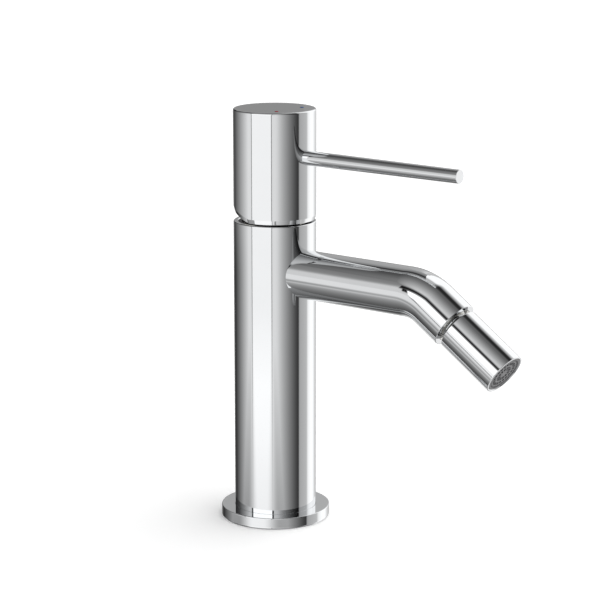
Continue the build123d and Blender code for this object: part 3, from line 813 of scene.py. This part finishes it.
def tail_frame(size):
    """The direction of the spout's tail and the centre of the ball."""
    direction = np.array([math.cos(size.bend_angle), 0, -math.sin(size.bend_angle)])
    corner = np.array([size.run, 0, size.height])
    return direction, corner + direction * (size.tail + size.ball_offset)


class MIXER_OT_ball(MixerStep, bpy.types.Operator):
    """Turns the ball on its stem"""
    bl_idname = "mixer.ball"
    bl_label = "Ball"

    def execute(self, context):
        size = context.scene.mixer_spout
        direction, centre = tail_frame(size)
        root = -size.ball_offset - size.stem_length
        low = math.acos(-size.ball_offset / size.ball_radius)
        high = math.asin(size.ball_bore / size.ball_radius)
        # The ball's outline is R sin a across and R cos a along, from the stem to the water way
        angle = np.linspace(low, high, 60)
        ball = np.stack([size.ball_radius * np.sin(angle), size.ball_radius * np.cos(angle)], axis=-1)
        stem = np.array([(size.ball_bore, root), (size.stem_radius, root), (size.stem_radius, -size.ball_offset)])
        outline = np.concatenate([stem, ball])[:, None]
        grid = placed(turned(outline, size.segments), centre, direction)
        self.piece("ball", grid, "chrome", "chrome_ball", "fixed_body", "ball_nipple", ring=True)
        return {"FINISHED"}


class MIXER_OT_nozzle(MixerStep, bpy.types.Operator):
    """Turns the nozzle's sleeve with its round seat for the ball"""
    bl_idname = "mixer.nozzle"
    bl_label = "Nozzle"

    def execute(self, context):
        size = context.scene.mixer_spout
        direction, centre = tail_frame(size)
        start = size.gap - size.ball_offset
        end = start + size.nozzle_length
        edge = size.nozzle_edge
        lip = math.sqrt(size.nozzle_seat ** 2 - start ** 2)
        outside = rounded_outline([
            (lip + edge, start, 0), (size.nozzle_radius, start, edge), (size.nozzle_radius, end, edge),
            (size.nozzle_bore + size.mouth_break, end, 0), (size.nozzle_bore, end - size.mouth_break, 0),
            (size.nozzle_bore, size.nozzle_step, 0), (size.nozzle_seat, size.nozzle_step, 0)])[:, 0]
        # The seat's outline is R cos a across and R sin a along, from the ball's middle up to the lip
        angle = np.linspace(0, math.asin(start / size.nozzle_seat), 16)
        seat = np.stack([size.nozzle_seat * np.cos(angle), size.nozzle_seat * np.sin(angle)], axis=-1)
        outline = np.concatenate([outside, seat])[:, None]
        grid = placed(turned(outline, size.segments), centre, direction)
        self.piece("nozzle", grid, "chrome", "chrome_nozzle", "nozzle", "nozzle_sleeve", ring=True)
        return {"FINISHED"}


class MIXER_OT_stage(MixerStep, bpy.types.Operator):
    """Sets the floor, the lamp, the studio's reflections and the camera"""
    bl_idname = "mixer.stage"
    bl_label = "Stage"

    def execute(self, context):
        scene = context.scene
        scene.view_settings.view_transform = "Standard"
        size = scene.mixer_studio
        right = np.array([math.cos(size.azimuth), math.sin(size.azimuth), 0])
        away = np.array([-math.sin(size.azimuth), math.cos(size.azimuth), 0])
        self.floor(scene)
        self.studio(scene, size)
        self.lamp(scene, size, right)
        self.camera(scene, size, right, away)
        return {"FINISHED"}

    def floor(self, scene):
        half = 3.0
        mesh = bpy.data.meshes.new("floor")
        mesh.from_pydata([(-half, -half, 0), (half, -half, 0), (half, half, 0), (-half, half, 0)], [], [(0, 1, 2, 3)])
        material = bpy.data.materials.new("floor")
        recipe = Recipe(material)
        rays = recipe.node("ShaderNodeLightPath", {}, {}, "Is Camera Ray")
        paper = recipe.blend(rays, (PAPER, PAPER, PAPER, 1), (PAPER_SEEN, PAPER_SEEN, PAPER_SEEN, 1))
        surface = recipe.node("ShaderNodeBsdfDiffuse", {}, {"Color": paper})
        recipe.node("ShaderNodeOutputMaterial", {}, {"Surface": surface})
        mesh.materials.append(material)
        floor = bpy.data.objects.new("floor", mesh)
        floor.visible_glossy = False
        scene.collection.objects.link(floor)

    def studio(self, scene, size):
        """The world: white behind the mixer, an even fill, and a room of cards for the reflections."""
        world = bpy.data.worlds.new("studio")
        scene.world = world
        recipe = Recipe(world)
        direction = recipe.node("ShaderNodeTexCoord", {}, {}, "Generated")
        room = self.room(recipe, direction, size)
        rays = recipe.node("ShaderNodeLightPath", {}, {}, None)
        seen = recipe.mix(rays["Is Glossy Ray"], size.fill, room)
        seen = recipe.mix(rays["Is Camera Ray"], seen, 1.0)
        light = recipe.node("ShaderNodeBackground", {}, {"Color": seen, "Strength": 1.0})
        recipe.node("ShaderNodeOutputWorld", {}, {"Surface": light})

    def room(self, recipe, direction, size):
        """The room's brightness in a direction.

        The walls go by the angle round the room, which is the arc tangent of side over depth. The ceiling
        and the ground go by side and depth over height. They meet the left wall softly, and the rest with
        sharp edges.
        """
        side, depth, rise = recipe.split(recipe.turn(direction, -size.azimuth))
        angle = recipe.maths("ARCTAN2", side, 0 - depth) * (180 / math.pi)
        walls = self.walls(recipe, angle, rise)
        side, depth, rise = recipe.split(recipe.turn(direction, math.radians(ROOM_HEADING) - size.azimuth))
        fall = 0 - rise
        steep = recipe.maths("MAXIMUM", abs(rise), 0.001)
        across = side / steep
        along = depth / steep
        left = angle < PANEL_MIDDLE - PANEL_HALF
        box = recipe.between(along, *CEILING_ALONG) * recipe.between(across, *CEILING_ACROSS)
        above = recipe.mix(left, box, recipe.fade(rise, 0.28, 0.42) * (along < CEILING_ALONG[1]))
        near = across * across + along * along < GROUND_REACH ** 2
        below = recipe.mix(left, near, recipe.fade(fall, 0.33, 0.5))
        slanted = across < abs(along) * recipe.mix(along > 0, *GROUND_SLANTS)
        below = below * recipe.maths("MAXIMUM", slanted, abs(along) < GROUND_STRIP)
        room = recipe.mix((rise > 0) * above, walls, self.overhead(recipe, across, along))
        room = recipe.mix((rise < 0) * below, room, self.ground(recipe, across, along))
        return recipe.mix(recipe.fade(fall, 0.8, 0.9), room, card(BENEATH_TONE))

    def overhead(self, recipe, across, along):
        """The ceiling, darker away from the spout, its side over the spout, and the opening in its far end."""
        far = along > OPENING_START
        edge = recipe.mix(far, recipe.maths("MINIMUM", -0.95, along * 0.72), along * -0.33 - 0.03)
        fall_off = recipe.mix(far, recipe.fade(across, -1.45, -0.15), 1.0)
        ceiling = recipe.tones(along, CEILING) * fall_off
        opening = far * recipe.fade(across, 0.2, 0.05)
        ceiling = recipe.mix(opening, ceiling, recipe.tones(along, OPENING))
        return recipe.mix(across > edge, recipe.tones(along, CEILING_SIDE), ceiling)

    def ground(self, recipe, across, along):
        """The ground, darker in the middle of its far side and at the back of its near side, and lighter in
        front of the mixer and behind it.
        """
        far = recipe.maths("MINIMUM", abs(across) ** 1.6 * 0.86, 1.7)
        far = recipe.mix(across > -0.5, far, 1.4)
        near = recipe.fade(across - along * 0.4, -1.9, -0.7)
        ends = (abs(along + 0.2) < 0.8) * (abs(across + 0.4) > 1.2)
        lightness = recipe.mix(ends, recipe.mix(along > 0, near, far), 2.6)
        return recipe.tones(along, GROUND) * lightness

    def walls(self, recipe, angle, rise):
        """The walls, the window, and the bright panel on the left wall.

        Some way down, the panel's edges fade into a darker wall. Above the horizon the walls have more
        contrast, and the back wall is lighter.
        """
        fall = 0 - rise
        low = recipe.ramp(fall, 0.2175, 0.3175) * (1 - recipe.fade(fall, 0.35, 0.45))
        high = recipe.fade(rise, 0.02, 0.1)
        plain = recipe.tones(angle, WALLS)
        limit = recipe.mix(low, *(card(tone) for tone in WALL_LIMITS))
        plain = recipe.mix(angle < RIGHT_WALL_END + 4, plain, recipe.maths("MINIMUM", plain, limit))
        contrast = recipe.mix(angle < PANEL_MIDDLE, 1.0, 1 + 0.22 * recipe.fade(fall, 0.18, 0.21))
        contrast = recipe.mix(high, contrast, recipe.mix(angle > RIGHT_WALL_END, 1.55, 1.1))
        contrast = recipe.mix(abs(angle) > BACK_WALL_START, contrast, 1 - 0.35 * recipe.fade(rise, 0.13, 0.3))
        plain = plain ** contrast * (1 - 0.1 * high * (angle < RIGHT_WALL_END))
        window = recipe.between(angle, *WINDOW) * recipe.fade(rise, -0.3, 0.25)
        plain = recipe.mix(window, plain, card(WINDOW_TONE))
        inside = PANEL_HALF - abs(angle - PANEL_MIDDLE)
        cover = recipe.fade(inside / (0.8 + 38 * low), -0.5, 0.5)
        panel = recipe.mix(high, recipe.tones(fall, PANEL_FALL), card(PANEL_TONE_ABOVE))
        walls = recipe.mix(cover, plain, panel)
        line = (abs(inside) < PANEL_LINE) * (1 - low) * (1 - high)
        walls = recipe.mix(line, walls, card(PANEL_LINE_TONE))
        frame = recipe.between(inside, *PANEL_FRAME) * recipe.fade(rise, 0.15, 0.28)
        return recipe.mix(frame, walls, card(PANEL_FRAME_TONE))

    def lamp(self, scene, size, right):
        data = bpy.data.lights.new("soft_lamp", "SUN")
        data.energy = size.lamp
        data.angle = size.lamp_angle
        lamp = bpy.data.objects.new("soft_lamp", data)
        towards = Vector(right * math.cos(size.lamp_rise) + np.array([0, 0, math.sin(size.lamp_rise)]))
        lamp.rotation_euler = towards.to_track_quat("Z", "Y").to_euler()
        lamp.visible_glossy = False
        scene.collection.objects.link(lamp)

    def camera(self, scene, size, right, away):
        data = bpy.data.cameras.new("camera")
        data.lens = size.lens
        data.sensor_width = 36
        data.clip_start = 0.05
        data.clip_end = 20
        camera = bpy.data.objects.new("camera", data)
        camera.location = Vector(size.aside * right - size.distance * away + np.array([0, 0, size.height]))
        camera.rotation_euler = (math.pi / 2 - size.pitch, 0, size.azimuth - size.heading)
        scene.collection.objects.link(camera)
        scene.camera = camera


STEPS = (MIXER_OT_finishes, MIXER_OT_body, MIXER_OT_head, MIXER_OT_lever, MIXER_OT_marks, MIXER_OT_spout,
         MIXER_OT_ball, MIXER_OT_nozzle, MIXER_OT_stage)
GROUPS = {"mixer_body": BodySizes, "mixer_handle": HandleSizes, "mixer_spout": SpoutSizes,
          "mixer_finishes": Finishes, "mixer_studio": StudioSizes}


class MIXER_PT_steps(bpy.types.Panel):
    """Lists the steps of the mixer and the sizes and colours that they use"""
    bl_idname = "MIXER_PT_steps"
    bl_label = "Bidet mixer"
    bl_space_type = "VIEW_3D"
    bl_region_type = "UI"
    bl_category = "Mixer"

    def draw(self, context):
        for step in STEPS:
            self.layout.operator(step.bl_idname)
        for name, group in GROUPS.items():
            box = self.layout.box()
            for key in group.__annotations__:
                box.prop(getattr(context.scene, name), key)


def register():
    for kind in (*GROUPS.values(), *STEPS, MIXER_PT_steps):
        bpy.utils.register_class(kind)
    for name, group in GROUPS.items():
        setattr(bpy.types.Scene, name, bpy.props.PointerProperty(type=group))


def unregister():
    for name in GROUPS:
        delattr(bpy.types.Scene, name)
    for kind in (MIXER_PT_steps, *reversed(STEPS), *GROUPS.values()):
        bpy.utils.unregister_class(kind)


def main():
    register()
    for step in STEPS:
        group, name = step.bl_idname.split(".")
        getattr(getattr(bpy.ops, group), name)()


if __name__ == "__main__":
    main()
